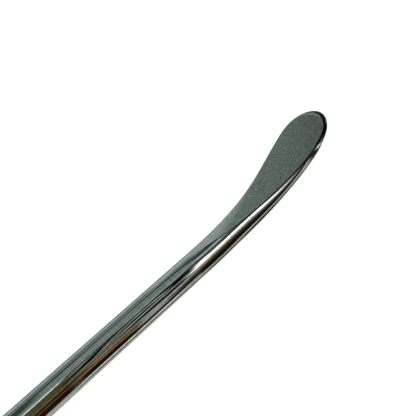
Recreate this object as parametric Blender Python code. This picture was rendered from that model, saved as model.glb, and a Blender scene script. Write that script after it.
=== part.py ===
"""Double-ended clay modelling tool: a bent steel spatula at one end and a leaf blade at the other.

Each steel has a tang that sits in a bore of the wooden handle. A brass ferrule covers the joint, and a
rivet goes through ferrule, wood and tang. All sizes are in metres. The tool lies along X with the
spatula towards +X and its flat face up, and the handle rests on the plane z = 0.
"""

import math

import bmesh
import bpy
from mathutils import Vector

# Fit between pieces that touch on the real tool
FIT_GAP = 0.0003

# Handle: an octagonal stick whose ends are turned down round
HANDLE_LENGTH = 0.084
HANDLE_ACROSS_FLATS = 0.011
HANDLE_END_TAPER = 0.016
HANDLE_SIDES = 48
HANDLE_TAPER_STEPS = 9

# Ferrules
FERRULE_LENGTH = 0.012
FERRULE_RADIUS = 0.0045
FERRULE_WALL = 0.0005
FERRULE_NOSE = 0.002
FERRULE_NOSE_ROUNDING = 0.0012
FERRULE_ROUNDING_LIMIT = 0.8  # largest share of the nose's own depth that the rounding may take
FERRULE_ROUNDING_STEPS = 5
FERRULE_GROOVE_WIDTH = 0.0008
FERRULE_GROOVE_DEPTH = 0.00022
FERRULE_GROOVE_FROM_REAR = 0.0016
FERRULE_SIDES = 40

# Rivets through ferrule, tenon and tang
RIVET_RADIUS = 0.0006
RIVET_HEAD_RADIUS = 0.00115
RIVET_HEAD_HEIGHT = 0.00035
RIVET_SIDES = 16
RIVET_HEAD_STEPS = 4
RIVET_HOLE_LENGTH = 3  # in ferrule radii, so that the cut passes right through

# Tangs, the same on both steels
TANG_RADIUS = 0.0017
TANG_LENGTH = 0.028
TANG_CHAMFER = 0.0006

# Shanks: the radius at the neck, and what it gains for each metre towards the handle
NECK_RADIUS = 0.0023
SHANK_GAIN = 0.00184
STEEL_SIDES = 28
CENTRELINE_SUB_STEPS = 12
TIP_REACH = 0.97  # how near the last ring comes to the very tip, before easing

# Spatula: lengths run along its curved centreline from the neck, or back from the tip
SPATULA_SHANK = 0.046
SPATULA_LENGTH = 0.0382
SPATULA_HALF_WIDTH = 0.00439
SPATULA_BEND = math.radians(23.2)
SPATULA_BEND_START = 0.0021
SPATULA_BEND_STOP_FROM_TIP = 0.0041
SPATULA_FLARE_START = -0.0054
SPATULA_FLARE_POWER = 2.56
SPATULA_ROUND_LENGTH = 0.0066
SPATULA_FACE_START = -0.0011
SPATULA_FACE_POWER = 1.18
SPATULA_TIP_FACE_HEIGHT = 0.00067
SPATULA_THIN_START = 0.0224
SPATULA_THIN_POWER = 3.9
SPATULA_TIP_HALF_DEPTH = 0.00076
SPATULA_LEAST_HALF_DEPTH = 0.0001
SPATULA_RISE_START = 0.0017
SPATULA_RISE_LENGTH = 0.0111
SPATULA_RISE = 0.00026
SPATULA_TIP_INNER_POWER = 2.15
SPATULA_TIP_OUTER_POWER = 2.0
SPATULA_BLADE_STEPS = 20
SPATULA_TIP_STEPS = 9

# Leaf blade at the other end
LEAF_SHANK = 0.026
LEAF_LENGTH = 0.027
LEAF_HALF_WIDTH = 0.0034
LEAF_WIDEST_AT = 0.0125
LEAF_MID_HALF_THICKNESS = 0.0009
LEAF_TIP_HALF_THICKNESS = 0.00035
LEAF_POINT_POWER = 0.85
LEAF_BEND = math.radians(12)
LEAF_BLADE_STEPS = 8
LEAF_TIP_STEPS = 8

# Mesh and looks
CUTTER_SIDES = 24
MERGE_DISTANCE = 1e-7
SHARP_ANGLE = math.radians(35)
STEEL_COLOUR = (0.46, 0.48, 0.46)
STEEL_ROUGHNESS = 0.15
BRASS_COLOUR = (0.72, 0.54, 0.25)
BRASS_ROUGHNESS = 0.3
WOOD_COLOUR = (0.55, 0.34, 0.17)
WOOD_ROUGHNESS = 0.5

# Where things stand, worked out from the sizes above
axis_height = HANDLE_ACROSS_FLATS / 2
shoulder_x = HANDLE_LENGTH / 2
ferrule_rear_x = shoulder_x + FIT_GAP
ferrule_front_x = ferrule_rear_x + FERRULE_LENGTH
tenon_radius = FERRULE_RADIUS - FERRULE_WALL - FIT_GAP
tenon_end_x = ferrule_front_x - FERRULE_NOSE - FIT_GAP
tang_end_x = ferrule_front_x - FERRULE_NOSE - TANG_LENGTH
rivet_x = (tenon_end_x + ferrule_rear_x) / 2
bore_radius = TANG_RADIUS + FIT_GAP
rivet_hole_radius = RIVET_RADIUS + FIT_GAP


def smooth_step(value):
    """0 below 0, 1 above 1, and an even S-shaped rise between."""
    clamped = min(max(value, 0.0), 1.0)
    return clamped * clamped * (3 - 2 * clamped)


def between(value, start, stop):
    """Where value lies between start and stop, held to 0..1."""
    return min(max((value - start) / (stop - start), 0.0), 1.0)


def make_material(name, colour, roughness, metallic):
    material = bpy.data.materials.new(name)
    material.use_nodes = True
    shader = material.node_tree.nodes["Principled BSDF"]
    shader.inputs["Base Color"].default_value = (*colour, 1.0)
    shader.inputs["Roughness"].default_value = roughness
    shader.inputs["Metallic"].default_value = metallic
    return material


def place(mesh, name, parent, material):
    """Put a mesh in the scene as one named piece, held by its parent."""
    piece = bpy.data.objects.new(name, mesh)
    bpy.context.collection.objects.link(piece)
    piece.parent = parent
    if material:
        mesh.materials.append(material)
    return piece


def finish_mesh(bm, name):
    """Turn a bmesh into a smooth-shaded mesh with its faces pointing out."""
    bmesh.ops.remove_doubles(bm, verts=bm.verts, dist=MERGE_DISTANCE)
    bmesh.ops.recalc_face_normals(bm, faces=bm.faces)
    mesh = bpy.data.meshes.new(name)
    bm.to_mesh(mesh)
    bm.free()
    mesh.shade_smooth()
    mesh.set_sharp_from_angle(angle=SHARP_ANGLE)
    return mesh


def loft(rings, name):
    """Skin a row of rings that have the same number of points, and close both ends."""
    bm = bmesh.new()
    loops = [[bm.verts.new(point) for point in ring] for ring in rings]
    count = len(loops[0])
    for near, far in zip(loops, loops[1:]):
        for i in range(count):
            j = (i + 1) % count
            bm.faces.new((near[i], near[j], far[j], far[i]))
    bm.faces.new(loops[0])
    bm.faces.new(loops[-1])
    return finish_mesh(bm, name)


def turn(profile, sides, name, closed):
    """Spin an (x, radius) profile once round the X axis."""
    bm = bmesh.new()
    points = [bm.verts.new((x, 0, radius)) for x, radius in profile]
    edges = [bm.edges.new(pair) for pair in zip(points, points[1:])]
    if closed:
        edges.append(bm.edges.new((points[-1], points[0])))
    bmesh.ops.spin(
        bm,
        geom=points + edges,
        axis=(1, 0, 0),
        cent=(0, 0, 0),
        angle=2 * math.pi,
        steps=sides,
        use_merge=True,
    )
    return finish_mesh(bm, name)


def cutter(name, parent, centre, radius, length, direction):
    """A hidden rod along direction that a Boolean takes away."""
    bm = bmesh.new()
    bmesh.ops.create_cone(
        bm, cap_ends=True, segments=CUTTER_SIDES, radius1=radius, radius2=radius, depth=length
    )
    rod = place(finish_mesh(bm, name), name, parent, None)
    rod.location = centre
    rod.rotation_euler = Vector(direction).to_track_quat("Z", "Y").to_euler()
    rod.hide_render = True
    rod.display_type = "WIRE"
    return rod


def cut(piece, rod):
    boolean = piece.modifiers.new(rod.name, "BOOLEAN")
    boolean.operation = "DIFFERENCE"
    boolean.solver = "EXACT"
    boolean.object = rod


def shank_radius(s):
    """Radius at s metres in front of the neck; behind the neck it grows towards the handle."""
    return NECK_RADIUS + SHANK_GAIN * max(-s, 0.0)


def tang_rings(shank_length):
    """Round rings of the tang, from its end up to the shoulder inside the ferrule's nose."""
    full = shank_radius(-shank_length - FERRULE_NOSE / 2)
    rear = -shank_length - FERRULE_NOSE - TANG_LENGTH
    stops = [
        (rear, TANG_RADIUS - TANG_CHAMFER),
        (rear + TANG_CHAMFER, TANG_RADIUS),
        (-shank_length - FERRULE_NOSE, TANG_RADIUS),
        (-shank_length - FERRULE_NOSE / 2, full),
    ]
    return [[round_point(x, radius, i) for i in range(STEEL_SIDES)] for x, radius in stops]


def ring_angle(i, flat_angle):
    """Angle from straight up of point i, on an arc that leaves flat_angle free on both sides of it."""
    return flat_angle + (2 * math.pi - 2 * flat_angle) * i / (STEEL_SIDES - 1)


def round_point(x, radius, i):
    angle = ring_angle(i, math.pi / STEEL_SIDES)
    return Vector((x, radius * math.sin(angle), radius * math.cos(angle)))


def bend_angle(s, bend, start, stop):
    return bend * smooth_step((s - start) / (stop - start))


def centreline(stations, bend, start, stop):
    """Points and slopes of a centreline that leaves the neck along X and turns up by bend."""
    x, z, line = stations[0], 0.0, []
    for i, s in enumerate(stations):
        if i:
            step = (s - stations[i - 1]) / CENTRELINE_SUB_STEPS
            for j in range(CENTRELINE_SUB_STEPS):
                middle = bend_angle(stations[i - 1] + (j + 0.5) * step, bend, start, stop)
                x += step * math.cos(middle)
                z += step * math.sin(middle)
        line.append((x, z, bend_angle(s, bend, start, stop)))
    return line


def spatula_ring(s, x, z, slope):
    """An ellipse cut off flat on top, where the flat drops from the shank's top towards the tip."""
    radius = shank_radius(s)
    widest = SPATULA_LENGTH - SPATULA_ROUND_LENGTH
    tip = between(s, widest, SPATULA_LENGTH)
    flare = smooth_step(between(s, SPATULA_FLARE_START, widest)) ** SPATULA_FLARE_POWER
    outline = (1 - tip**SPATULA_TIP_INNER_POWER) ** (1 / SPATULA_TIP_OUTER_POWER)
    half_width = (radius + (SPATULA_HALF_WIDTH - radius) * flare) * outline
    thinning = between(s, SPATULA_THIN_START, SPATULA_LENGTH) ** SPATULA_THIN_POWER
    half_depth = radius - (NECK_RADIUS - SPATULA_TIP_HALF_DEPTH) * thinning
    half_depth = max(half_depth * math.sqrt(1 - tip**2), SPATULA_LEAST_HALF_DEPTH)
    middle = SPATULA_RISE * smooth_step((s - SPATULA_RISE_START) / SPATULA_RISE_LENGTH)
    drop = between(s, SPATULA_FACE_START, SPATULA_LENGTH) ** SPATULA_FACE_POWER
    face = radius - (NECK_RADIUS - SPATULA_TIP_FACE_HEIGHT) * drop
    flat_angle = math.acos(min((face - middle) / half_depth, 1.0))
    flat_angle = max(flat_angle, math.pi / STEEL_SIDES)
    ring = []
    for i in range(STEEL_SIDES):
        angle = ring_angle(i, flat_angle)
        up = middle + half_depth * math.cos(angle)
        side = half_width * math.sin(angle)
        ring.append(Vector((x - up * math.sin(slope), side, z + up * math.cos(slope))))
    return ring


def leaf_ring(s, x, z, slope):
    """An ellipse that widens and thins from the round shank, then narrows to a point."""
    radius = shank_radius(s)
    flare = smooth_step(s / LEAF_WIDEST_AT)
    point = between(s, LEAF_WIDEST_AT, LEAF_LENGTH)
    outline = math.cos(point * math.pi / 2) ** LEAF_POINT_POWER
    half_width = (radius + (LEAF_HALF_WIDTH - radius) * flare) * outline
    thin = radius + (LEAF_MID_HALF_THICKNESS - radius) * flare
    half_thickness = thin + (LEAF_TIP_HALF_THICKNESS - thin) * point
    ring = []
    for i in range(STEEL_SIDES):
        angle = ring_angle(i, math.pi / STEEL_SIDES)
        up = half_thickness * math.cos(angle)
        side = half_width * math.sin(angle)
        ring.append(Vector((x - up * math.sin(slope), side, z + up * math.cos(slope))))
    return ring


def even_stations(start, stop, count):
    """Evenly spaced stations, both ends included."""
    return [start + (stop - start) * i / count for i in range(count + 1)]


def tip_stations(start, stop, count):
    """Stations from start almost to stop, closer together where the outline turns in."""
    shares = [1 - (1 - TIP_REACH * i / count) ** 2 for i in range(1, count + 1)]
    return [start + (stop - start) * share for share in shares]


def spatula_mesh():
    widest = SPATULA_LENGTH - SPATULA_ROUND_LENGTH
    stations = even_stations(SPATULA_FLARE_START, widest, SPATULA_BLADE_STEPS)
    stations += tip_stations(widest, SPATULA_LENGTH, SPATULA_TIP_STEPS)
    bend_stop = SPATULA_LENGTH - SPATULA_BEND_STOP_FROM_TIP
    line = centreline(stations, SPATULA_BEND, SPATULA_BEND_START, bend_stop)
    rings = tang_rings(SPATULA_SHANK)
    rings += [spatula_ring(s, *spot) for s, spot in zip(stations, line)]
    return loft(rings, "spatula_steel")


def leaf_mesh():
    stations = even_stations(0.0, LEAF_WIDEST_AT, LEAF_BLADE_STEPS)
    stations += tip_stations(LEAF_WIDEST_AT, LEAF_LENGTH, LEAF_TIP_STEPS)
    line = centreline(stations, LEAF_BEND, 0.0, LEAF_LENGTH)
    rings = tang_rings(LEAF_SHANK)
    rings += [leaf_ring(s, *spot) for s, spot in zip(stations, line)]
    return loft(rings, "leaf_steel")


def ferrule_profile(hole_radius):
    """(x, radius) points from the nose hole, over the outside and back through the socket."""
    rounding_room = FERRULE_ROUNDING_LIMIT * (FERRULE_RADIUS - hole_radius)
    rounding = min(FERRULE_NOSE_ROUNDING, rounding_room)
    profile = [(FERRULE_LENGTH, hole_radius)]
    for i in range(FERRULE_ROUNDING_STEPS + 1):
        angle = math.pi / 2 * i / FERRULE_ROUNDING_STEPS
        profile.append(
            (
                FERRULE_LENGTH - rounding * (1 - math.cos(angle)),
                FERRULE_RADIUS - rounding * (1 - math.sin(angle)),
            )
        )
    for groove in (1, 0):
        middle = FERRULE_GROOVE_FROM_REAR + 2 * FERRULE_GROOVE_WIDTH * groove
        profile.append((middle + FERRULE_GROOVE_WIDTH / 2, FERRULE_RADIUS))
        profile.append((middle, FERRULE_RADIUS - FERRULE_GROOVE_DEPTH))
        profile.append((middle - FERRULE_GROOVE_WIDTH / 2, FERRULE_RADIUS))
    profile.append((0.0, FERRULE_RADIUS))
    profile.append((0.0, FERRULE_RADIUS - FERRULE_WALL))
    profile.append((FERRULE_LENGTH - FERRULE_NOSE, FERRULE_RADIUS - FERRULE_WALL))
    profile.append((FERRULE_LENGTH - FERRULE_NOSE, hole_radius))
    return profile


def rivet_profile():
    """(x, radius) points of a pin with a domed head on each end, from end to end."""
    under_head = FERRULE_RADIUS + FIT_GAP / 2
    half = []
    for i in range(RIVET_HEAD_STEPS + 1):
        angle = math.pi / 2 * i / RIVET_HEAD_STEPS
        height = RIVET_HEAD_HEIGHT * math.cos(angle)
        half.append((under_head + height, RIVET_HEAD_RADIUS * math.sin(angle)))
    half.append((under_head, RIVET_RADIUS))
    return half + [(-x, radius) for x, radius in reversed(half)]


def handle_ring(x, turned_radius):
    """The octagonal stick where the turned surface would lie outside it, the turned one elsewhere."""
    ring = []
    facet = math.pi / 4
    for i in range(HANDLE_SIDES):
        angle = 2 * math.pi * i / HANDLE_SIDES
        off_middle = (angle + facet / 2) % facet - facet / 2
        stick = HANDLE_ACROSS_FLATS / 2 / math.cos(off_middle)
        radius = min(stick, turned_radius)
        ring.append(Vector((x, radius * math.sin(angle), radius * math.cos(angle))))
    return ring


def handle_mesh():
    """Tenon, shoulder, turned-down end and faceted middle, the same towards both ends."""
    corner = HANDLE_ACROSS_FLATS / 2 / math.cos(math.pi / 8)
    half = [(tenon_end_x, tenon_radius), (shoulder_x, tenon_radius)]
    for i in range(HANDLE_TAPER_STEPS + 1):
        share = i / HANDLE_TAPER_STEPS
        turned = FERRULE_RADIUS + (corner - FERRULE_RADIUS) * smooth_step(share)
        half.append((shoulder_x - HANDLE_END_TAPER * share, turned))
    stops = half + [(-x, radius) for x, radius in reversed(half)]
    return loft([handle_ring(x, radius) for x, radius in stops], "wooden_handle")


def build_end(parent, end, blade, blade_name, shank_length, steel, brass, handle):
    """One end of the tool in its parent's frame, whose +X runs out of the handle."""
    hole_radius = shank_radius(-shank_length - FERRULE_NOSE / 2) + FIT_GAP
    ferrule_mesh = turn(ferrule_profile(hole_radius), FERRULE_SIDES, end + "_ferrule", True)
    ferrule = place(ferrule_mesh, end + "_ferrule", parent, brass)
    ferrule.location.x = ferrule_rear_x
    rivet_mesh = turn(rivet_profile(), RIVET_SIDES, end + "_rivet", False)
    rivet = place(rivet_mesh, end + "_rivet", parent, brass)
    rivet.location.x = rivet_x
    rivet.rotation_euler.z = math.pi / 2
    blade_piece = place(blade, blade_name, parent, steel)
    blade_piece.location.x = ferrule_front_x + shank_length
    hole_length = RIVET_HOLE_LENGTH * FERRULE_RADIUS
    hole_name = end + "_rivet_hole"
    rivet_rod = cutter(hole_name, parent, (rivet_x, 0, 0), rivet_hole_radius, hole_length, (0, 1, 0))
    for piece in (ferrule, blade_piece, handle):
        cut(piece, rivet_rod)
    bore_length = tenon_end_x - tang_end_x + 2 * FIT_GAP
    bore_middle = (tenon_end_x + tang_end_x) / 2
    bore_rod = cutter(end + "_bore", parent, (bore_middle, 0, 0), bore_radius, bore_length, (1, 0, 0))
    cut(handle, bore_rod)


def main():
    for old in list(bpy.data.objects):
        bpy.data.objects.remove(old)

    steel = make_material("polished_steel", STEEL_COLOUR, STEEL_ROUGHNESS, 1.0)
    brass = make_material("turned_brass", BRASS_COLOUR, BRASS_ROUGHNESS, 1.0)
    wood = make_material("oiled_beech", WOOD_COLOUR, WOOD_ROUGHNESS, 0.0)

    tool_axis = bpy.data.objects.new("tool_axis", None)
    bpy.context.collection.objects.link(tool_axis)
    tool_axis.location.z = axis_height
    rear_axis = bpy.data.objects.new("rear_axis", None)
    bpy.context.collection.objects.link(rear_axis)
    rear_axis.parent = tool_axis
    rear_axis.rotation_euler.z = math.pi

    handle = place(handle_mesh(), "wooden_handle", tool_axis, wood)
    build_end(tool_axis, "front", spatula_mesh(), "spatula_steel", SPATULA_SHANK, steel, brass, handle)
    build_end(rear_axis, "rear", leaf_mesh(), "leaf_steel", LEAF_SHANK, steel, brass, handle)


main()
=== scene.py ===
import bmesh
import bpy
import numpy as np
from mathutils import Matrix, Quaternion, Vector


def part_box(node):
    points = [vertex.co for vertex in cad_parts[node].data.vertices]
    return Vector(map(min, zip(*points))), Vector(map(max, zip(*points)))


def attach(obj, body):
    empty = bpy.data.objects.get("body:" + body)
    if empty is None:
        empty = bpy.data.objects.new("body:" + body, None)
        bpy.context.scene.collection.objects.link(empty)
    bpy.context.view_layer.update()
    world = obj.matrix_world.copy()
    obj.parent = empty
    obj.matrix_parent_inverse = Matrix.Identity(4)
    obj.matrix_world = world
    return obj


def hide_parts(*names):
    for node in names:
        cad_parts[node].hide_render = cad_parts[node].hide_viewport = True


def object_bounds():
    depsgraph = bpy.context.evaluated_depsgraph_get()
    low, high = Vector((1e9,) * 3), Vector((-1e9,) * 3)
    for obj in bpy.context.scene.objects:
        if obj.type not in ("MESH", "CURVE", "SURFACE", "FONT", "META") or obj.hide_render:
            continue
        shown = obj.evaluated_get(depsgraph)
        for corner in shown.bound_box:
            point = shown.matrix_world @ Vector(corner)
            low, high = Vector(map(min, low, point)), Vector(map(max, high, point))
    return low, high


# Double-ended clay modelling tool: bent steel spatula, beech handle, leaf blade.
# The tool lies along X, spatula towards +X, its flat face up, and rests on z = 0.

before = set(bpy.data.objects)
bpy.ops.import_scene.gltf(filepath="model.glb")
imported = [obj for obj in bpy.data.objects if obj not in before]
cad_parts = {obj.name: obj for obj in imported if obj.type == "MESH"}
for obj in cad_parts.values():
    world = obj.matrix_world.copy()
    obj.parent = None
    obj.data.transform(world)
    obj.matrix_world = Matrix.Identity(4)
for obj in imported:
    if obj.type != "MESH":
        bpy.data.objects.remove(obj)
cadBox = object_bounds()
mm = 0.001
print("frame loaded:", ", ".join(sorted(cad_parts)))


# sRGB hex to linear: the gamma curve of the sRGB standard, channel by channel
def linear(hexColour):
    shown = np.array([int(hexColour[i:i + 2], 16) for i in (1, 3, 5)]) / 255
    return np.where(shown <= 0.04045, shown / 12.92, ((shown + 0.055) / 1.055) ** 2.4)


def rgba(hexColour):
    return (*(float(c) for c in linear(hexColour)), 1.0)


# S-shaped rise from 0 to 1: 3t^2 - 2t^3 of t held to 0..1
def smoothStep(t):
    t = np.clip(t, 0, 1)
    return t * t * (3 - 2 * t)


# The smaller of a and b, rounded over a width of k where the two meet
def softMin(a, b, k):
    return np.minimum(a, b) - np.maximum(k - np.abs(a - b), 0) ** 2 / (4 * k)


# Adds a node; inputs are values to set or sockets to link, by name or number
def addNode(tree, kind, inputs=None, **settings):
    node = tree.nodes.new(kind)
    for key, value in settings.items():
        setattr(node, key, value)
    for key, value in (inputs or {}).items():
        if isinstance(value, bpy.types.NodeSocket):
            tree.links.new(value, node.inputs[key])
        else:
            node.inputs[key].default_value = value
    return node


def newMaterial(name):
    material = bpy.data.materials.new(name)
    material.use_nodes = True
    material.node_tree.nodes.clear()
    return material, material.node_tree


# Sets the stops of a Color Ramp node: (place, hex colour) pairs
def setStops(ramp, stops):
    elements = ramp.color_ramp.elements
    while len(elements) < len(stops):
        elements.new(0.5)
    for element, (place, colour) in zip(elements, stops):
        element.position = place
        element.color = rgba(colour)


# A grid of points (rows x columns x 3) as a closed smooth mesh: neighbours make quads,
# wrap joins the last column to the first, doubles at seams and poles are merged
def surfaceMesh(name, grid, wrap, merge=0.2e-6, **attributes):
    rows, columns = grid.shape[:2]
    index = np.arange(rows * columns).reshape(rows, columns)
    if wrap:
        index = np.concatenate([index, index[:, :1]], 1)
    quads = np.stack([index[:-1, :-1], index[1:, :-1], index[1:, 1:], index[:-1, 1:]], -1)
    mesh = bpy.data.meshes.new(name)
    mesh.from_pydata(grid.reshape(-1, 3).tolist(), [], quads.reshape(-1, 4).tolist())
    for key, values in attributes.items():
        layer = mesh.attributes.new(key, "FLOAT", "POINT")
        layer.data.foreach_set("value", np.asarray(values, np.float32).ravel())
    bm = bmesh.new()
    bm.from_mesh(mesh)
    bmesh.ops.remove_doubles(bm, verts=bm.verts, dist=merge)
    bmesh.ops.dissolve_degenerate(bm, edges=bm.edges, dist=merge)
    bmesh.ops.recalc_face_normals(bm, faces=bm.faces)
    bm.to_mesh(mesh)
    bm.free()
    mesh.shade_smooth()
    return mesh


# Puts a finished mesh in the scene in place of a CAD node, which it hides: attached to the root
# body, with the given material
def addPiece(mesh, material, node):
    piece = bpy.data.objects.new(mesh.name, mesh)
    bpy.context.scene.collection.objects.link(piece)
    mesh.materials.append(material)
    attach(piece, "root")
    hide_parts(node)
    print("made", piece.name, len(mesh.polygons), "faces")


# Where things stand, from the frame: the ferrules' ends and the height of their axis
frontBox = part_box("front_ferrule")
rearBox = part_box("rear_ferrule")
axisHeight = (frontBox[0].z + frontBox[1].z) / 2
ferruleLength = frontBox[1].x - frontBox[0].x


# Moves a surface made along +X from its own zero to x on the tool's axis;
# turned=True points it towards -X instead, a half turn about Z
def onAxis(grid, x, turned=False):
    placed = grid * (-1, -1, 1) if turned else grid
    return placed + (x, 0, axisHeight)


# Tool steel, ground and buffed to a mirror, with one bead-blasted satin face.
# The mirror shows its surroundings through faint lengthwise buffing marks; the satin
# face is darker, dull and speckled, and along its edge runs a painted dark reflection.
# faceShare is 1 on the satin face, the edge attribute is 1 on the painted line.
def polishedSteelMaterial():
    look = {
        "mirrorColour": "#CBCDCB", "crossDark": "#B2B6B4", "edgeReflectionDark": "#1E2222",
        "satinColour": "#BAC1BA", "satinDark": "#78807A",
        "mirrorRoughness": 0.05, "satinRoughness": 0.42,
        "smudgeSize": 3.5 * mm,        # wiped and fingered patches, a little duller
        "speckleSize": 0.25 * mm,      # blasting pits are near 0.05 mm; coarser, to show
        "buffSpacing": 0.12 * mm,      # buffing scratches are near 0.01 mm; coarser, to show
        "crossSpacing": 0.3 * mm,      # turning marks are near 0.1 mm; coarser, to show
        "buffDepth": 0.01 * mm, "pitDepth": 0.05 * mm,
        "alongStretch": 0.03, "roundStretch": 0.08,
    }
    material, tree = newMaterial("polished_tool_steel")
    place = addNode(tree, "ShaderNodeTexCoord").outputs["Object"]
    share = addNode(tree, "ShaderNodeAttribute", attribute_name="faceShare").outputs["Fac"]
    grains = addNode(tree, "ShaderNodeTexNoise", {
        "Vector": place, "Scale": 1 / look["speckleSize"], "Detail": 1.0, "Roughness": 0.6,
    }).outputs["Fac"]
    speckle = addNode(tree, "ShaderNodeMapRange", {
        "Value": grains, "From Min": 0.3, "From Max": 0.7,
    }).outputs[0]
    smudges = addNode(tree, "ShaderNodeTexNoise", {
        "Vector": place, "Scale": 1 / look["smudgeSize"], "Detail": 2.0,
    }).outputs["Fac"]
    satin = addNode(tree, "ShaderNodeMix", {
        "Factor": speckle, 6: rgba(look["satinDark"]), 7: rgba(look["satinColour"]),
    }, data_type="RGBA")
    # faint turning marks run round the bar: noise squeezed along X
    squeeze = (1, look["roundStretch"], look["roundStretch"])
    squeezed = addNode(tree, "ShaderNodeMapping", {"Vector": place, "Scale": squeeze})
    turning = addNode(tree, "ShaderNodeTexNoise", {
        "Vector": squeezed.outputs[0], "Scale": 1 / look["crossSpacing"], "Detail": 1.0,
    }).outputs["Fac"]
    crossMarks = addNode(tree, "ShaderNodeMapRange", {
        "Value": turning, "From Min": 0.35, "From Max": 0.65,
    })
    mirror = addNode(tree, "ShaderNodeMix", {
        "Factor": crossMarks.outputs[0], 6: rgba(look["mirrorColour"]), 7: rgba(look["crossDark"]),
    }, data_type="RGBA")
    body = addNode(tree, "ShaderNodeMix", {
        "Factor": share, 6: mirror.outputs[2], 7: satin.outputs[2],
    }, data_type="RGBA")
    # painted dark reflection: along the edge of the satin face the base colour turns near black
    edge = addNode(tree, "ShaderNodeAttribute", attribute_name="edgeLine").outputs["Fac"]
    colour = addNode(tree, "ShaderNodeMix", {
        "Factor": edge, 6: body.outputs[2], 7: rgba(look["edgeReflectionDark"]),
    }, data_type="RGBA")
    # buffing marks run along X: noise stretched about thirty times that way
    stretch = (look["alongStretch"], 1, 1)
    stretched = addNode(tree, "ShaderNodeMapping", {"Vector": place, "Scale": stretch})
    buff = addNode(tree, "ShaderNodeTexNoise", {
        "Vector": stretched.outputs[0], "Scale": 1 / look["buffSpacing"], "Detail": 2.0,
    }).outputs["Fac"]
    wiped = addNode(tree, "ShaderNodeMapRange", {
        "Value": smudges, "From Min": 0.35, "From Max": 0.7,
        "To Min": look["mirrorRoughness"] * 0.8, "To Max": look["mirrorRoughness"] * 1.6,
    })
    roughness = addNode(tree, "ShaderNodeMix", {
        "Factor": share, 2: wiped.outputs[0], 3: look["satinRoughness"],
    }, data_type="FLOAT")
    buffBump = addNode(tree, "ShaderNodeBump", {
        "Height": buff, "Strength": 0.12, "Distance": look["buffDepth"],
    })
    pitStrength = addNode(tree, "ShaderNodeMath", {0: share, 1: 0.5}, operation="MULTIPLY")
    bump = addNode(tree, "ShaderNodeBump", {
        "Height": speckle, "Strength": pitStrength.outputs[0], "Distance": look["pitDepth"],
        "Normal": buffBump.outputs[0],
    })
    shader = addNode(tree, "ShaderNodeBsdfPrincipled", {
        "Base Color": colour.outputs[2], "Metallic": 1.0,
        "Roughness": roughness.outputs[0], "Normal": bump.outputs[0],
    })
    addNode(tree, "ShaderNodeOutputMaterial", {"Surface": shader.outputs[0]})
    return material


# Cartridge brass, turned on a lathe: warm yellow metal with fine rings round it,
# a little darker and duller down in the grooves. grooveShare is 1 at their bottom.
def turnedBrassMaterial():
    look = {
        "colour": "#D8B56B", "tarnish": "#8E6A33", "roughness": 0.2, "tarnishRoughness": 0.5,
        "tarnishSize": 2.5 * mm, "ringDepth": 0.02 * mm, "roundStretch": 0.02,
        "ringSpacing": 0.12 * mm,      # tool marks are near 0.05 mm; coarser, to show
    }
    material, tree = newMaterial("turned_brass")
    place = addNode(tree, "ShaderNodeTexCoord").outputs["Object"]
    groove = addNode(tree, "ShaderNodeAttribute", attribute_name="grooveShare").outputs["Fac"]
    squeeze = (1, look["roundStretch"], look["roundStretch"])
    squeezed = addNode(tree, "ShaderNodeMapping", {"Vector": place, "Scale": squeeze})
    rings = addNode(tree, "ShaderNodeTexNoise", {
        "Vector": squeezed.outputs[0], "Scale": 1 / look["ringSpacing"], "Detail": 3.0,
    }).outputs["Fac"]
    patches = addNode(tree, "ShaderNodeTexNoise", {
        "Vector": place, "Scale": 1 / look["tarnishSize"], "Detail": 3.0,
    }).outputs["Fac"]
    dirt = addNode(tree, "ShaderNodeMapRange", {
        "Value": patches, "From Min": 0.4, "From Max": 0.75, "To Min": 0.0, "To Max": 0.3,
    })
    age = addNode(tree, "ShaderNodeMath", {0: groove, 1: dirt.outputs[0]}, operation="MAXIMUM")
    colour = addNode(tree, "ShaderNodeMix", {
        "Factor": age.outputs[0], 6: rgba(look["colour"]), 7: rgba(look["tarnish"]),
    }, data_type="RGBA")
    roughness = addNode(tree, "ShaderNodeMapRange", {
        "Value": age.outputs[0], "To Min": look["roughness"], "To Max": look["tarnishRoughness"],
    })
    bump = addNode(tree, "ShaderNodeBump", {
        "Height": rings, "Strength": 0.35, "Distance": look["ringDepth"],
    })
    shader = addNode(tree, "ShaderNodeBsdfPrincipled", {
        "Base Color": colour.outputs[2], "Metallic": 1.0,
        "Roughness": roughness.outputs[0], "Normal": bump.outputs[0],
    })
    addNode(tree, "ShaderNodeOutputMaterial", {"Surface": shader.outputs[0]})
    return material


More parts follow.
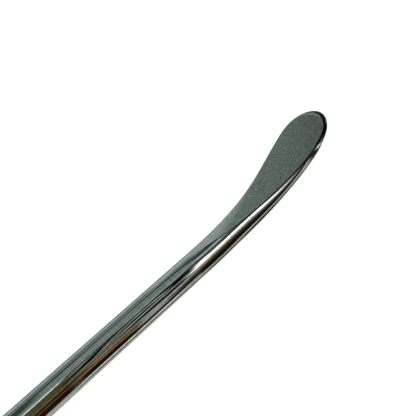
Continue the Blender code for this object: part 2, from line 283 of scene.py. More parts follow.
# Steamed beech, shaped, sanded and oiled: pinkish tan with soft lengthwise bands,
# short brown flecks a millimetre or two long, and a low oil sheen
def oiledBeechMaterial():
    look = {
        "pale": "#D2A876", "middle": "#C29260", "dark": "#A97748", "fleck": "#7C4E2B",
        "bandWidth": 1.6 * mm, "fleckWidth": 0.28 * mm, "poreWidth": 0.1 * mm,
        "poreDepth": 0.04 * mm, "roughness": 0.42,
    }
    material, tree = newMaterial("oiled_beech")
    place = addNode(tree, "ShaderNodeTexCoord").outputs["Object"]
    # year rings: bands stretched about thirty times along the stick
    bandPlace = addNode(tree, "ShaderNodeMapping", {
        "Vector": place, "Rotation": (0.4, 0.0, 0.03), "Scale": (0.03, 1, 0.55),
    })
    bands = addNode(tree, "ShaderNodeTexNoise", {
        "Vector": bandPlace.outputs[0], "Scale": 1 / look["bandWidth"],
        "Detail": 3.0, "Distortion": 0.4,
    }).outputs["Fac"]
    tone = addNode(tree, "ShaderNodeValToRGB", {"Fac": bands})
    setStops(tone, [(0.32, look["dark"]), (0.5, look["middle"]), (0.68, look["pale"])])
    # flecks: cells stretched along the stick, dark only at their cores
    fleckPlace = addNode(tree, "ShaderNodeMapping", {"Vector": place, "Scale": (0.14, 1, 1)})
    flecks = addNode(tree, "ShaderNodeTexVoronoi", {
        "Vector": fleckPlace.outputs[0], "Scale": 0.55 / look["fleckWidth"], "Randomness": 1.0,
    }).outputs["Distance"]
    fleckShape = addNode(tree, "ShaderNodeMapRange", {
        "Value": flecks, "From Min": 0.16, "From Max": 0.3, "To Min": 0.75, "To Max": 0.0,
    })
    colour = addNode(tree, "ShaderNodeMix", {
        "Factor": fleckShape.outputs[0], 6: tone.outputs[0], 7: rgba(look["fleck"]),
    }, data_type="RGBA")
    porePlace = addNode(tree, "ShaderNodeMapping", {"Vector": place, "Scale": (0.06, 1, 1)})
    pores = addNode(tree, "ShaderNodeTexNoise", {
        "Vector": porePlace.outputs[0], "Scale": 1 / look["poreWidth"], "Detail": 2.0,
    }).outputs["Fac"]
    sheen = addNode(tree, "ShaderNodeMapRange", {
        "Value": bands, "To Min": look["roughness"] + 0.1, "To Max": look["roughness"] - 0.08,
    })
    bump = addNode(tree, "ShaderNodeBump", {
        "Height": pores, "Strength": 0.3, "Distance": look["poreDepth"],
    })
    shader = addNode(tree, "ShaderNodeBsdfPrincipled", {
        "Base Color": colour.outputs[2], "Roughness": sheen.outputs[0], "IOR": 1.5,
        "Normal": bump.outputs[0],
    })
    addNode(tree, "ShaderNodeOutputMaterial", {"Surface": shader.outputs[0]})
    return material


polishedSteel = polishedSteelMaterial()
turnedBrass = turnedBrassMaterial()
oiledBeech = oiledBeechMaterial()
print("materials made")


# What both steels share behind the neck: lengths in mm, s runs forward from the neck
steel = {
    "neckRadius": 2.3, "gain": 0.00184,       # shank radius, and its growth per mm backwards
    "tangRadius": 1.7, "tangLength": 28.0, "tangChamfer": 0.6,
    "noseThickness": 2.0,                     # of the ferrule that the shank passes through
}


# Rear profile of a steel as stations s and radii: pole, chamfered tang, shoulder inside
# the ferrule's nose, then the cone of the shank up to s = stop
def rearProfile(shankLength, stop, steps):
    shoulder = -shankLength - steel["noseThickness"] / 2
    tangFront = -shankLength - steel["noseThickness"]
    tangRear = tangFront - steel["tangLength"]
    s = np.array([tangRear, tangRear, tangRear + steel["tangChamfer"], tangFront, shoulder])
    r = np.array([0, steel["tangRadius"] - steel["tangChamfer"], steel["tangRadius"],
                  steel["tangRadius"], shankRadius(shoulder)])
    shank = np.linspace(shoulder, stop, steps + 1)[1:]
    return np.concatenate([s, shank]), np.concatenate([r, shankRadius(shank)])


# Radius of the round shank: it grows evenly backwards from the neck
def shankRadius(s):
    return steel["neckRadius"] + steel["gain"] * np.maximum(-s, 0)


# Centreline in the XZ plane: its slope rises in an S from 0 to bend between two
# stations, and the points are the running sum of the slope's cosine and sine
def centreline(s, bend, start, stop):
    fine = np.linspace(-100, 60, 16001)       # every 0.01 mm, past both ends of a steel
    slope = bend * smoothStep((fine - start) / (stop - start))
    middle = (slope[1:] + slope[:-1]) / 2
    step = np.diff(fine)
    x = fine[0] + np.concatenate([[0], np.cumsum(step * np.cos(middle))])
    z = np.concatenate([[0], np.cumsum(step * np.sin(middle))])
    return np.interp(s, fine, x), np.interp(s, fine, z), np.interp(s, fine, slope)


# A section point: y to the side and up along the normal of the bent centreline
def bentPoint(s, y, up, bend, start, stop):
    x, z, slope = centreline(s, bend, start, stop)
    return np.stack([x - up * np.sin(slope), y, z + up * np.cos(slope)], -1)


# The spatula, in mm and stations s along the bar
spatula = {
    "shank": 46.0, "length": 38.2, "halfWidth": 4.39,
    "bend": np.radians(23.2), "bendStart": 2.1, "bendStop": 34.1,
    "flareStart": -5.4, "roundFrom": 31.6, "flarePower": 2.56,
    "innerPower": 2.15, "outerPower": 2.0,                # outline of the round tip
    "faceStart": -1.1, "faceDrop": 1.63, "facePower": 1.18,
    "thinStart": 22.4, "thinPower": 3.9, "tipHalfDepth": 0.76,
    "riseStart": 1.7, "riseLength": 11.1, "rise": 0.26,
    "edgeRounding": (0.04, 0.18), "roundingStart": 6.0, "roundingLength": 16.0,
    # satin: where it fades in, how far it slants, how soft its edge is
    "satinFrom": 2.0, "satinLength": 11.0, "satinSlant": 3.6, "satinBlend": 0.06,
    # painted dark reflection line: how far it reaches below the face, where that grows and shrinks
    # again
    "lineReach": 0.06, "lineGrowth": 0.16, "growthStart": 8.0, "growthLength": 16.0,
    "lineShrink": 0.08, "shrinkStart": 31.0, "shrinkLength": 4.0,
    "lineFrom": -1.0, "lineRunIn": 4.0, "lineFarthest": 0.6,
    # mesh: rows, columns, and the shares of the columns on the face and down the side
    "roundBack": 5.0, "rearSteps": 16, "bladeSteps": 170, "tipSteps": 60,
    "columns": 150, "onFace": 0.4, "onSide": 0.2, "crowding": 1.5, "leastEdge": np.radians(10),
}


# Height of the spatula's flat face over the bar's centreline: it falls as a power of
# the distance from where grinding starts
def faceHeight(s):
    p = spatula
    fall = np.clip((s - p["faceStart"]) / (p["length"] - p["faceStart"]), 0, 1)
    return shankRadius(s) - p["faceDrop"] * fall ** p["facePower"]


# Half-depth of the round section under the face, which thins only close to the tip
def halfDepth(s, radius):
    p = spatula
    thin = np.clip((s - p["thinStart"]) / (p["length"] - p["thinStart"]), 0, 1)
    return radius - (radius - p["tipHalfDepth"]) * thin ** p["thinPower"]


# How far the middle of the section has risen over the bar's centreline
def middleHeight(s):
    p = spatula
    return p["rise"] * smoothStep((s - p["riseStart"]) / p["riseLength"])


# Rows of the spatula as columns of numbers: station on the spine and at the rim, offset
# of the rim to the side, radius of the bar. The half-width flares in an S to a power,
# then the tip closes on a superellipse while its rows fan out about one spine point.
def spatulaRows():
    p = spatula
    rearS, rearR = rearProfile(p["shank"], p["faceStart"] - p["roundBack"], p["rearSteps"])
    bladeS = np.linspace(p["faceStart"] - p["roundBack"], p["roundFrom"], p["bladeSteps"])[1:]
    flare = smoothStep((bladeS - p["flareStart"]) / (p["roundFrom"] - p["flareStart"]))
    bladeR = shankRadius(bladeS)
    bladeW = bladeR + (p["halfWidth"] - bladeR) * flare ** p["flarePower"]
    turn = 1 - (1 - np.linspace(0, 1, p["tipSteps"] + 1)[1:]) ** 2
    tipS = p["roundFrom"] + (p["length"] - p["roundFrom"]) * turn
    tipW = p["halfWidth"] * (1 - turn ** p["innerPower"]) ** (1 / p["outerPower"])
    spine = np.concatenate([rearS, bladeS, np.full(len(tipS), p["roundFrom"])])
    rim = np.concatenate([rearS, bladeS, tipS])
    width = np.concatenate([rearR, bladeW, tipW])
    radius = np.concatenate([rearR, bladeR, shankRadius(tipS)])
    # the same rows again on the other side, in reverse, so that they run all the way round
    back = slice(-2, None, -1)
    spine = np.concatenate([spine, spine[back]])
    rim = np.concatenate([rim, rim[back]])
    side = np.concatenate([-width, width[back]])
    radius = np.concatenate([radius, radius[back]])
    return spine[:, None], rim[:, None], side[:, None], radius[:, None]


# Angles from straight up along a row: close together towards the edge of the face,
# then even down the side, then even round the underside to the spine
def sectionAngles(rim):
    p = spatula
    v = np.linspace(0, 1, p["columns"] + 1)
    cut = (faceHeight(rim) - middleHeight(rim)) / halfDepth(rim, shankRadius(rim))
    edge = np.maximum(np.arccos(np.clip(cut, -1, 1)), p["leastEdge"])
    sideFrom, belowFrom = p["onFace"], p["onFace"] + p["onSide"]
    crowded = 1 - (1 - np.clip(v / sideFrom, 0, 1)) ** p["crowding"]
    face = np.arcsin(np.sin(edge) * crowded)
    side = edge + (np.pi / 2 - edge) * (v - sideFrom) / p["onSide"]
    below = np.pi / 2 * (1 + (v - belowFrom) / (1 - belowFrom))
    return np.where(v < sideFrom, face, np.where(v < belowFrom, side, below))


# Shares of satin and of a painted dark reflection. over is how far the full oval stands over
# the face, in mm: satin lies where it is cut away, fading in slantwise in front of the neck,
# and the painted dark reflection runs just outside the edge of the flat, mostly on the -Y side
def spatulaFinish(s, y, over, rounding, above):
    p = spatula
    satin = smoothStep((over - rounding) / p["satinBlend"] + 0.5) * above
    satin = satin * smoothStep((s - p["satinFrom"] - p["satinSlant"] * y) / p["satinLength"])
    grown = smoothStep((s - p["growthStart"]) / p["growthLength"])
    shrunk = smoothStep((s - p["shrinkStart"]) / p["shrinkLength"])
    reach = p["lineReach"] + p["lineGrowth"] * grown - p["lineShrink"] * shrunk
    # the line is the mask of the painted dark reflection
    # full within half the reach of a middle 0.6 of the reach down, gone at twice that
    line = smoothStep(1.5 - abs(over + 0.6 * reach) / (0.75 * reach))
    line = line * smoothStep((s - p["lineFrom"]) / p["lineRunIn"])
    line = line * smoothStep(p["lineFarthest"] - y)
    return satin, line


# Spatula surface. Each row is half a section, from the spine on top round to the spine
# below. The section is an ellipse, half-width by half-depth, whose middle rises a little
# along the blade, cut off level with the face, with the cut's edge rounded.
def spatulaSurface():
    p = spatula
    spine, rim, side, radius = spatulaRows()
    a = sectionAngles(rim)
    s = spine + np.sin(a) * (rim - spine)
    y = np.sin(a) * side
    ground = s > p["faceStart"]
    oval = middleHeight(s) + halfDepth(s, np.where(ground, shankRadius(s), radius)) * np.cos(a)
    face = faceHeight(s)
    small, large = p["edgeRounding"]
    grown = smoothStep((s - p["roundingStart"]) / p["roundingLength"])
    rounding = small + (large - small) * grown
    rounding = np.minimum(rounding, (shankRadius(s) - face) / 2) + 1e-6
    up = np.where((a < np.pi / 2) & ground, softMin(oval, face, rounding), oval)
    satin, line = spatulaFinish(s, y, oval - face, rounding, ground * (a < np.pi / 2))
    points = bentPoint(s, y, up, p["bend"], p["bendStart"], p["bendStop"])
    return points * mm, satin, line * ground


neckX = frontBox[1].x + spatula["shank"] * mm
neck = Vector((neckX, 0, axisHeight))
grid, satin, line = spatulaSurface()
# the edge attribute carries the line of painted dark reflection
mesh = surfaceMesh("spatula", onAxis(grid, neckX), False, faceShare=satin, edgeLine=line)
addPiece(mesh, polishedSteel, "spatula_steel")


# The leaf blade, in mm; the thicknesses are halves
leaf = {
    "shank": 26.0, "length": 27.0, "halfWidth": 3.4, "widestAt": 12.5,
    "middleThickness": 0.9, "tipThickness": 0.35, "pointPower": 0.85, "closing": 0.03,
    "bend": np.radians(12), "rearSteps": 10, "bladeSteps": 110, "crowding": 1.6, "columns": 96,
}


# Leaf blade: ellipses round the bent centreline; the half-width swells in an S to the
# widest station and falls off as a power of a cosine to the point, while the section thins
def leafSurface():
    p = leaf
    rearS, rearR = rearProfile(p["shank"], 0.0, p["rearSteps"])
    bladeS = p["length"] * (1 - (1 - np.linspace(0, 1, p["bladeSteps"] + 1)[1:]) ** p["crowding"])
    s = np.concatenate([rearS, bladeS])[:, None]
    r = np.concatenate([rearR, shankRadius(bladeS)])[:, None]
    flare = smoothStep(s / p["widestAt"])
    point = np.clip((s - p["widestAt"]) / (p["length"] - p["widestAt"]), 0, 1)
    outline = np.maximum(np.cos(point * np.pi / 2), 0) ** p["pointPower"]
    wide = (r + (p["halfWidth"] - r) * flare) * outline
    thick = r + (p["middleThickness"] - r) * flare
    closed = np.sqrt(np.clip((1 - point) / p["closing"], 0, 1))
    thick = (thick + (p["tipThickness"] - thick) * point) * closed
    a = np.linspace(0, 2 * np.pi, p["columns"], endpoint=False)
    y, up = wide * np.sin(a), thick * np.cos(a)
    return bentPoint(s + 0 * a, y, up, p["bend"], 0.0, p["length"]) * mm


leafX = rearBox[0].x - leaf["shank"] * mm
mesh = surfaceMesh("leaf", onAxis(leafSurface(), leafX, turned=True), True)
addPiece(mesh, polishedSteel, "leaf_steel")


# Both ferrules, in mm
ferrule = {
    "radius": 4.5, "wall": 0.5, "nose": 2.0, "noseRounding": 1.2, "rearRounding": 0.15,
    "grooves": (1.6, 3.2), "grooveWidth": 0.8, "grooveDepth": 0.22,
    "solderHeight": 0.25,                     # fillet of solder where the shank leaves the nose
    "solderSink": 0.02, "holeSink": 0.05,     # below the shank's surface, so no gap shows
    "solderDullness": 0.6,
    "arcSteps": 12, "bodySteps": 160, "sides": 128,
}


# A quarter arc from angle start, stepped evenly, as (x, r) pairs about a centre
def quarterArc(x, r, size, start, steps):
    angle = np.radians(start) - np.linspace(0, np.pi / 2, steps + 1)
    return np.stack([x + size * np.cos(angle), r + size * np.sin(angle)], -1)


# Ferrule profile, in mm from its rear, closed: rolled rear edge, outside with two
# grooves shaped like a raised cosine, rounded nose, solder fillet, then the socket
def ferruleProfile(length, shaftRadius):
    p = ferrule
    small, big = p["rearRounding"], p["noseRounding"]
    rear = quarterArc(small, p["radius"] - small, small, 180, p["arcSteps"])
    x = np.linspace(small, length - big, p["bodySteps"])[1:-1]
    depth = np.zeros(len(x))
    for middle in p["grooves"]:
        fromMiddle = np.clip((x - middle) / p["grooveWidth"], -0.5, 0.5)
        depth += (1 + np.cos(2 * np.pi * fromMiddle)) / 2
    outside = np.stack([x, p["radius"] - p["grooveDepth"] * depth], -1)
    nose = quarterArc(length - big, p["radius"] - big, big, 90, p["arcSteps"])
    # the solder is a parabola from the nose down to the shank
    t = np.linspace(0, 1, p["arcSteps"])[:, None]
    foot = np.array([length, shaftRadius + p["solderHeight"]])
    corner = np.array([length, shaftRadius])
    end = np.array([length + p["solderHeight"], shaftRadius - p["solderSink"]])
    solder = (1 - t) ** 2 * foot + 2 * t * (1 - t) * corner + t * t * end
    hole = shaftRadius - p["holeSink"]
    socket = np.array([
        [length - p["nose"] / 2, hole],
        [length - p["nose"], hole],
        [length - p["nose"], p["radius"] - p["wall"]],
        [0, p["radius"] - p["wall"]],
    ])
    profile = np.concatenate([rear, outside, nose, solder, socket])
    dull = np.full(len(solder), p["solderDullness"])
    bright = [np.zeros(len(part)) for part in (rear, nose, socket)]
    return profile, np.concatenate([bright[0], depth, bright[1], dull, bright[2]])


# Carries an (x, r) profile once round the X axis
def revolve(profile, sides):
    turn = np.linspace(0, 2 * np.pi, sides, endpoint=False)
    x = profile[:, :1] + 0 * turn
    return np.stack([x, profile[:, 1:] * np.sin(turn), profile[:, 1:] * np.cos(turn)], -1)


# Both rivets, in mm; the heads sink a trace into the ferrule
rivet = {
    "radius": 0.6, "headRadius": 1.15, "headHeight": 0.42, "seatDepth": 0.02, "skirt": 0.25,
    "steps": 10, "sides": 48,
}


# Rivet profile, in mm along its own axis: a low dome that springs from the ferrule's
# round surface, a short skirt sunk into it, the pin, and the same again
def rivetProfile():
    p = rivet
    angle = np.linspace(0, np.pi / 2, p["steps"] + 1)
    seat = ferrule["radius"] - p["seatDepth"]
    foot = seat - p["skirt"]
    dome = np.stack([seat + p["headHeight"] * np.cos(angle), p["headRadius"] * np.sin(angle)], -1)
    skirt = np.array([[foot, p["headRadius"]], [foot, p["radius"]]])
    half = np.concatenate([dome, skirt])
    return np.concatenate([half, half[::-1] * (-1, 1)])


# The ferrule is its profile carried round the axis, closed back to its first ring
def addFerrule(end, x, shankLength, turned):
    shaft = float(shankRadius(-shankLength))
    profile, groove = ferruleProfile(ferruleLength / mm, shaft)
    grid = onAxis(revolve(profile, ferrule["sides"]) * mm, x, turned)
    grid = np.concatenate([grid, grid[:1]])
    groove = np.append(groove, groove[0])[:, None] + np.zeros(ferrule["sides"])
    mesh = surfaceMesh(end + "Ferrule", grid, True, grooveShare=groove)
    addPiece(mesh, turnedBrass, end + "_ferrule")


# The rivet is turned to lie across the tool, in the middle of its CAD box
def addRivet(end):
    low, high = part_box(end + "_rivet")
    pin = revolve(rivetProfile(), rivet["sides"])[..., [1, 0, 2]] * mm
    mesh = surfaceMesh(end + "Rivet", pin + ((low.x + high.x) / 2, 0, axisHeight), True)
    addPiece(mesh, turnedBrass, end + "_rivet")


addFerrule("front", frontBox[0].x, spatula["shank"], False)
addRivet("front")
addFerrule("rear", rearBox[1].x, leaf["shank"], True)
addRivet("rear")


# The handle, in mm
handle = {
    "acrossFlats": 11.0, "endTaper": 16.0, "cornerRounding": 0.35, "scallopRounding": 0.12,
    "shoulderRounding": 0.4, "endRadius": 4.55, "tenonRadius": 3.7, "boreRadius": 2.0,
    "ferruleGap": 0.3, "pastCorners": 0.35, "taperEnd": 1.5,
    "arcSteps": 8, "taperSteps": 90, "middleSteps": 24, "sides": 256,
}


# Handle: an octagonal stick (distance to the nearest flat over the cosine, corners
# rounded) cut by a turned surface that swells in an S from the ferrule to the corners.
# The profile starts at the bottom of one bore and goes over the tenon to the other.
def handleSurface():
    p = handle
    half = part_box("wooden_handle")[1].x / mm
    shoulder = frontBox[0].x / mm - p["ferruleGap"]
    flat = p["acrossFlats"] / 2
    corner = flat / np.cos(np.pi / 8) + p["pastCorners"]
    tangEnd = frontBox[1].x / mm - steel["noseThickness"] - steel["tangLength"]
    inside = np.array([[tangEnd, 0], [tangEnd, p["boreRadius"]], [half, p["boreRadius"]],
                       [half, p["tenonRadius"]], [shoulder, p["tenonRadius"]]])
    small, start = p["shoulderRounding"], p["endRadius"]
    rounding = quarterArc(shoulder - small, start - small, small, 90, p["arcSteps"])[::-1]
    taperStop = shoulder - p["endTaper"] - p["taperEnd"]
    x = np.linspace(shoulder - small, taperStop, p["taperSteps"])[1:]
    swell = smoothStep((shoulder - x) / p["endTaper"])
    taper = np.stack([x, start + (corner - start) * swell], -1)
    middle = np.linspace(x[-1], 0, p["middleSteps"])[1:]
    belly = np.stack([middle, np.full(len(middle), corner)], -1)
    side = np.concatenate([inside, rounding, taper, belly])
    profile = np.concatenate([side, side[-2::-1] * (-1, 1)])
    turn = np.linspace(0, 2 * np.pi, p["sides"], endpoint=False)
    facet = np.pi / 4
    off = (turn + facet / 2) % facet - facet / 2        # angle from the middle of a flat
    near, far = flat / np.cos(off), flat / np.cos(facet - abs(off))
    stick = softMin(near, far, p["cornerRounding"])
    r = softMin(profile[:, 1:] + 0 * turn, stick + 0 * profile[:, 1:], p["scallopRounding"])
    r = np.where(profile[:, 1:] < p["tenonRadius"] + 0.01, profile[:, 1:], r)
    grid = np.stack([profile[:, :1] + 0 * turn, r * np.sin(turn), r * np.cos(turn)], -1)
    return grid * mm


mesh = surfaceMesh("handle", onAxis(handleSurface(), 0), True)
addPiece(mesh, oiledBeech, "wooden_handle")


# Difference of two angles in degrees, between -180 and 180
def angleApart(a, b):
    return (a - b + 180) % 360 - 180


# Cover from 0 to 1 of a rectangle in phi and theta whose edges fade over a width of soft
def patchCover(phi, theta, soft, phiRange, thetaRange):
    (phi0, phi1), (theta0, theta1) = phiRange, thetaRange
    pastPhi = abs(angleApart(phi, (phi0 + phi1) / 2)) - (phi1 - phi0) / 2
    pastTheta = abs(theta - (theta0 + theta1) / 2) - (theta1 - theta0) / 2
    return (1 - smoothStep(pastPhi / soft + 0.5)) * (1 - smoothStep(pastTheta / soft + 0.5))


# Cover from 0 to 1 of a line through points (phi, theta), from the distance to the
# nearest of its straight stretches
def strokeCover(phi, theta, halfWidth, soft, points):
    nearest = np.full(np.broadcast(phi, theta).shape, 1e9)
    for (phi0, theta0), (phi1, theta1) in zip(points, points[1:]):
        dPhi, dTheta = phi1 - phi0, theta1 - theta0
        fromPhi = angleApart(phi, phi0 + dPhi / 2) + dPhi / 2
        fromTheta = theta - theta0
        t = (fromPhi * dPhi + fromTheta * dTheta) / (dPhi ** 2 + dTheta ** 2)
        t = np.clip(t, 0, 1)
        nearest = np.minimum(nearest, np.hypot(fromPhi - t * dPhi, fromTheta - t * dTheta))
    return 1 - smoothStep((nearest - halfWidth) / soft + 0.5)


# A material that glows with the mesh's paint on its front, the inside of a shell, and is
# clear from behind and to a ray that has already passed a clear surface
def paintedLight(name):
    material, tree = newMaterial(name)
    paint = addNode(tree, "ShaderNodeAttribute", attribute_name="paint").outputs["Color"]
    glow = addNode(tree, "ShaderNodeEmission", {"Color": paint}).outputs[0]
    clear = addNode(tree, "ShaderNodeBsdfTransparent").outputs[0]
    depth = addNode(tree, "ShaderNodeLightPath").outputs["Transparent Depth"]
    facing = addNode(tree, "ShaderNodeNewGeometry").outputs["Backfacing"]
    passed = addNode(tree, "ShaderNodeMath", {0: depth, 1: 0.5}, operation="GREATER_THAN")
    outside = addNode(tree, "ShaderNodeMath", {
        0: facing, 1: passed.outputs[0],
    }, operation="MAXIMUM").outputs[0]
    mixed = addNode(tree, "ShaderNodeMixShader", {0: outside, 1: glow, 2: clear})
    addNode(tree, "ShaderNodeOutputMaterial", {"Surface": mixed.outputs[0]})
    material.cycles.emission_sampling = "NONE"
    return material


# A sphere of soft light about a centre, hidden from the camera. Angles in degrees: theta
# from +X, phi round X from -Y over +Z. First come the patches (hex, softness, phi range,
# theta range), then the strokes (hex, strength, half-width, softness, points), in order.
def paintedShell(name, centre, look):
    phi = np.arange(-180, 180, 1.0)
    theta = np.arange(0, look["lastTheta"] + 0.5, 0.5)[:, None]
    gain = look["gain"]
    colour = np.zeros((len(theta), len(phi), 3)) + linear(look["base"]) * gain
    for hexColour, *patch in look["patches"]:
        cover = patchCover(phi, theta, *patch)[..., None]
        colour += cover * (linear(hexColour) * gain - colour)
    for hexColour, strength, *stroke in look["strokes"]:
        cover = strokeCover(phi, theta, *stroke)[..., None]
        colour += cover * (linear(hexColour) * strength * gain - colour)
    p, t = np.radians(phi), np.radians(theta)
    grid = np.stack([np.cos(t) + 0 * p, -np.sin(t) * np.cos(p), np.sin(t) * np.sin(p)], -1)
    index = np.arange(len(theta) * len(phi)).reshape(len(theta), len(phi))
    index = np.concatenate([index, index[:, :1]], 1)
    quads = np.stack([index[:-1, :-1], index[1:, :-1], index[1:, 1:], index[:-1, 1:]], -1)
    mesh = bpy.data.meshes.new(name)
    points = grid.reshape(-1, 3) * look["radius"] + np.array(centre)
    mesh.from_pydata(points.tolist(), [], quads.reshape(-1, 4).tolist())
    layer = mesh.color_attributes.new("paint", "FLOAT_COLOR", "POINT")
    full = np.concatenate([colour, np.ones(colour.shape[:2] + (1,))], -1)
    layer.data.foreach_set("color", full.astype(np.float32).ravel())
    mesh.materials.append(paintedLight(name))
    shell = bpy.data.objects.new(name, mesh)
    bpy.context.scene.collection.objects.link(shell)
    shell.visible_camera = False
    shell.visible_shadow = False
    return shell


# The near tent, seen only in reflections: pale and dark cloths round the spatula's neck
tent = {
    "radius": 60 * mm, "lastTheta": 124, "base": "#8C9690",
    "gain": 1 / 0.6,             # makes up for the steel, which reflects about 0.6
    "patches": [
        # far side: a pale wall, darker lower down, and two dark rails
        ("#96A3A3", 14, (138, 174), (-20, 150)),
        ("#7A8789", 12, (172, 196), (-20, 150)),
        ("#545F64", 10, (194, 236), (-20, 150)),
        ("#47534F", 5, (137, 149), (72, 150)),
        ("#6E7873", 4, (123, 137), (60, 150)),
        # above: plain grey, warmer in the middle, dark towards the handle
        ("#6E7873", 6, (74, 124), (59, 150)),
        ("#87827D", 7, (85, 98), (83, 98)),
        ("#343E34", 8, (90, 114), (107, 150)),
        # -Y side, above: pale grey, then olive
        ("#7C8480", 4, (17, 66), (60, 96)),
        ("#45452E", 6, (18, 63), (97, 150)),
        ("#5A5238", 5, (13, 27), (80, 150)),
        # -Y side, level: brown, dark towards the handle
        ("#20100A", 6, (-46, 14), (97, 150)),
        ("#5F4028", 6, (-14, 8), (78, 98)),
        ("#1E0F08", 6, (-46, -12), (79, 98)),
        # below: pale table, greyer where it meets the far side
        ("#A3A299", 8, (-140, -55), (-20, 150)),
        ("#7A7971", 14, (-150, -106), (58, 150)),
        # around the tip: dark room, black where the bevel of the blade looks
        ("#5A625E", 8, (84, 165), (-20, 40)),
        ("#3C4440", 8, (60, 225), (-20, 22)),
        ("#5A6866", 8, (14, 78), (14, 57)),
        ("#465250", 8, (42, 70), (20, 42)),
        ("#020403", 5, (46, 114), (34, 57)),
        ("#60665E", 8, (-2, 36), (28, 42)),
        ("#040606", 6, (-12, 56), (6, 31)),
        ("#6E726A", 8, (-60, -20), (24, 34)),
        ("#7E827C", 8, (-140, -60), (22, 40)),
        ("#5A5E5C", 8, (-62, -40), (32, 46)),
        ("#2A2A26", 5, (-140, -60), (39, 50)),
        ("#7C7C72", 5, (-140, -58), (52, 60)),
        ("#121406", 3, (-54, 4), (47.5, 62)),
    ],
    "strokes": [
        # above the shank: a dark line that turns down behind, and short pale lights
        ("#252F2A", 1.0, 2, 3, [(80, 59), (90, 60), (100, 62), (108, 65)]),
        ("#1C2622", 1.0, 4, 4, [(108, 65), (114, 70), (118, 78), (119, 124)]),
        ("#1E2A22", 1.0, 6, 6, [(118, 98), (122, 124)]),
        ("#3A443E", 1.0, 5, 5, [(66, 88), (66, 97)]),
        ("#D2DCDC", 1.1, 3, 2.5, [(68, 103), (67, 114)]),
        ("#AEB6B4", 1.0, 1.6, 2.5, [(72, 61), (64, 59)]),
        ("#35403D", 1.0, 3.5, 3, [(60, 63), (54, 60), (46, 58)]),
        # dark arc and spots with pale loops between, half way up the -Y side
        ("#060908", 1.0, 4.5, 3,
         [(50, 67), (55, 69), (61, 74), (62, 81), (56, 87), (48, 92), (40, 96)]),
        ("#060908", 1.0, 7, 3, [(39, 63), (40, 68)]),
        ("#060908", 1.0, 6, 3, [(43, 77), (43, 83)]),
        ("#1E2824", 1.0, 3, 3, [(33, 85), (33, 88)]),
        ("#060908", 1.0, 5.5, 3, [(41, 94), (39, 96)]),
        ("#060908", 1.0, 7.5, 3, [(16, 68), (18, 72), (21, 76)]),
        ("#A0A8A4", 1.0, 1.5, 2, [(44, 71), (52, 75), (53, 82), (47, 87)]),
        ("#A0A8A4", 1.0, 1.5, 2, [(28, 70), (34, 74), (34, 82), (40, 89)]),
        # brown streaks level with the bar, then the pale and dark lines below them
        ("#20120A", 1.0, 4, 4, [(10, 97), (11, 124)]),
        ("#6E4228", 1.0, 4, 5, [(-3, 99), (-2, 124)]),
        ("#A8744A", 1.0, 1.8, 4, [(-17, 78), (-12, 84), (-5, 92), (-4, 96)]),
        ("#8C8E88", 1.0, 5, 6, [(2, 63), (-6, 68), (-16, 74)]),
        ("#0E0A08", 1.0, 9, 4, [(-30, 62), (-34, 70), (-36, 77)]),
        ("#3A2008", 1.0, 6, 5, [(-10, 59), (-15, 66)]),
        ("#DADAD0", 1.0, 3.5, 4, [(-54, 70), (-52, 95)]),
        ("#2C3028", 1.0, 6, 7, [(-69, 92), (-73, 80), (-75, 72), (-82, 62), (-78, 54), (-72, 47)]),
        # round the tip: bright below, a dark ring
        ("#202426", 1.0, 3, 5, [(4, 17), (26, 17)]),
        ("#4A4A4C", 1.0, 3, 6, [(-16, 11), (-12, 20)]),
        ("#8A8E88", 1.0, 4, 6, [(-27, 18), (-22, 25)]),
        ("#D0D0D2", 1.0, 2, 4, [(-35, 12), (-130, 11)]),
        ("#E6E8E6", 1.1, 2.5, 4, [(-40, 16), (-130, 15.5)]),
        ("#343C3E", 1.0, 1.6, 3, [(-130, 6.5), (-20, 7), (12, 9)]),
        ("#4A504C", 1.0, 1.6, 2, [(-130, 22), (-62, 21)]),
        # crisp lines along the blade
        ("#10140A", 1.0, 5, 4, [(-12, 53), (2, 54), (13, 54)]),
        ("#4A2A12", 1.0, 4, 4, [(-9, 60), (-5, 58)]),
        ("#B4BEB2", 1.0, 2, 3, [(-62, 61), (-57, 56), (-51, 52), (-40, 48), (-24, 44), (-17, 39)]),
        ("#1E2620", 1.0, 4, 4, [(-50, 26), (-32, 30), (-15, 35), (3, 41), (12, 48), (17, 54)]),
        ("#1C1E1E", 1.0, 1.6, 2, [(-62, 22), (-42, 25), (-28, 28), (-12, 33), (-2, 37), (8, 43)]),
        ("#C4C4C2", 1.0, 1.8, 2.5, [(-26, 26), (-14, 31), (2, 37), (20, 46)]),
        ("#B4B0A8", 1.0, 2.5, 2, [(6, 62), (11, 60)]),
        ("#E6E6E6", 1.0, 2.5, 4, [(20, 46), (27, 51), (34, 57)]),
        ("#8E8A80", 1.0, 3, 3, [(7, 62), (9, 58), (12, 57), (17, 58)]),
        ("#F4F4F4", 1.2, 1.6, 2.5, [(28, 59.5), (38, 60.5), (41, 61)]),
        ("#FAFAFA", 1.4, 3, 3, [(19, 62), (24, 60), (29, 59), (34, 59.5)]),
    ],
}
paintedShell("reflectionTent", neck, tent).visible_diffuse = False

# The far dome, which lights the tool and is what its rear end reflects
studio = {
    "radius": 1.6, "lastTheta": 180, "base": "#A6AAAC", "gain": 1.0,
    "patches": [
        ("#9A9C9A", 20, (-150, -30), (-20, 200)),           # the pale floor, for reflections
        ("#2E3234", 10, (-28, -6), (-20, 200)),             # dark walls at the horizon
        ("#2E3234", 10, (186, 208), (-20, 200)),
        ("#5A6064", 12, (34, 56), (-20, 200)),
        ("#4A5054", 10, (128, 142), (-20, 200)),
    ],
    "strokes": [
        ("#FFFFFF", 2.8, 22, 14, [(88, 60), (88, 125)]),    # large soft box overhead
        ("#FFFFFF", 1.4, 6, 6, [(18, 40), (18, 145)]),      # strip low at the front
        ("#FFFFFF", 1.2, 5, 6, [(165, 40), (165, 145)]),    # and at the back
    ],
}
paintedShell("studioDome", (0, 0, axisHeight), studio)

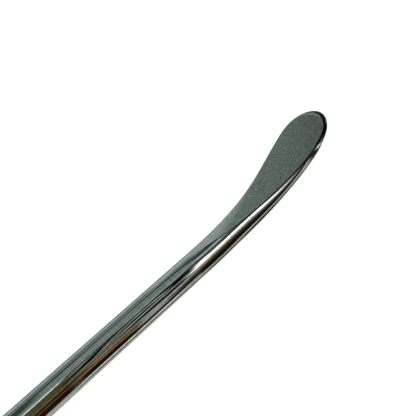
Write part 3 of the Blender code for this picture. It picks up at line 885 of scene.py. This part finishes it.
floor = {
    "size": 1.4,                 # half a side, in metres
    "gap": 0.02 * mm,            # below the tool, so that the two don't touch
    "colour": "#8C8C8B", "light": "#FFFFFF", "strength": 0.93,
}


# Matt pale card, lit from below as well, so that only a trace of contact shadow shows
def paleCardMaterial():
    material, tree = newMaterial("pale_card")
    card = addNode(tree, "ShaderNodeBsdfDiffuse", {"Color": rgba(floor["colour"])})
    glow = addNode(tree, "ShaderNodeEmission", {
        "Color": rgba(floor["light"]), "Strength": floor["strength"],
    })
    both = addNode(tree, "ShaderNodeAddShader", {0: card.outputs[0], 1: glow.outputs[0]})
    addNode(tree, "ShaderNodeOutputMaterial", {"Surface": both.outputs[0]})
    return material


# A square of card just below the tool, which shows in no reflection
def addFloor():
    a, z = floor["size"], cadBox[0].z - floor["gap"]
    mesh = bpy.data.meshes.new("paleFloor")
    mesh.from_pydata([(-a, -a, z), (a, -a, z), (a, a, z), (-a, a, z)], [], [(0, 1, 2, 3)])
    mesh.materials.append(paleCardMaterial())
    card = bpy.data.objects.new("paleFloor", mesh)
    bpy.context.scene.collection.objects.link(card)
    card.visible_glossy = False


addFloor()

world = bpy.data.worlds.new("plainWhite")
world.use_nodes = True
world.node_tree.nodes["Background"].inputs["Color"].default_value = (1, 1, 1, 1)
world.cycles.sampling_method = "NONE"
bpy.context.scene.world = world
bpy.context.scene.view_settings.view_transform = "Standard"
print("studio made")


# Aim and distance in mm from the neck; turned from -Y towards -X and raised, in degrees
cameraPlace = {
    "aim": (6.22, 0.8, 6.98), "distance": 151.7, "turned": 41.0, "raised": 33.88,
    "roll": -14.74, "lens": 80.05, "sensorWidth": 36, "clip": (0.005, 20),
}


def addCamera():
    p = cameraPlace
    turned, raised = np.radians(p["turned"]), np.radians(p["raised"])
    level = np.cos(raised)
    back = Vector((-np.sin(turned) * level, -np.cos(turned) * level, np.sin(raised)))
    data = bpy.data.cameras.new("camera")
    data.lens = p["lens"]
    data.sensor_width = p["sensorWidth"]
    data.clip_start, data.clip_end = p["clip"]
    camera = bpy.data.objects.new("camera", data)
    camera.rotation_mode = "QUATERNION"
    roll = Quaternion((0, 0, 1), np.radians(p["roll"]))
    camera.rotation_quaternion = back.to_track_quat("Z", "Y") @ roll
    camera.location = neck + Vector(p["aim"]) * mm + back * p["distance"] * mm
    bpy.context.scene.collection.objects.link(camera)
    bpy.context.scene.camera = camera


addCamera()
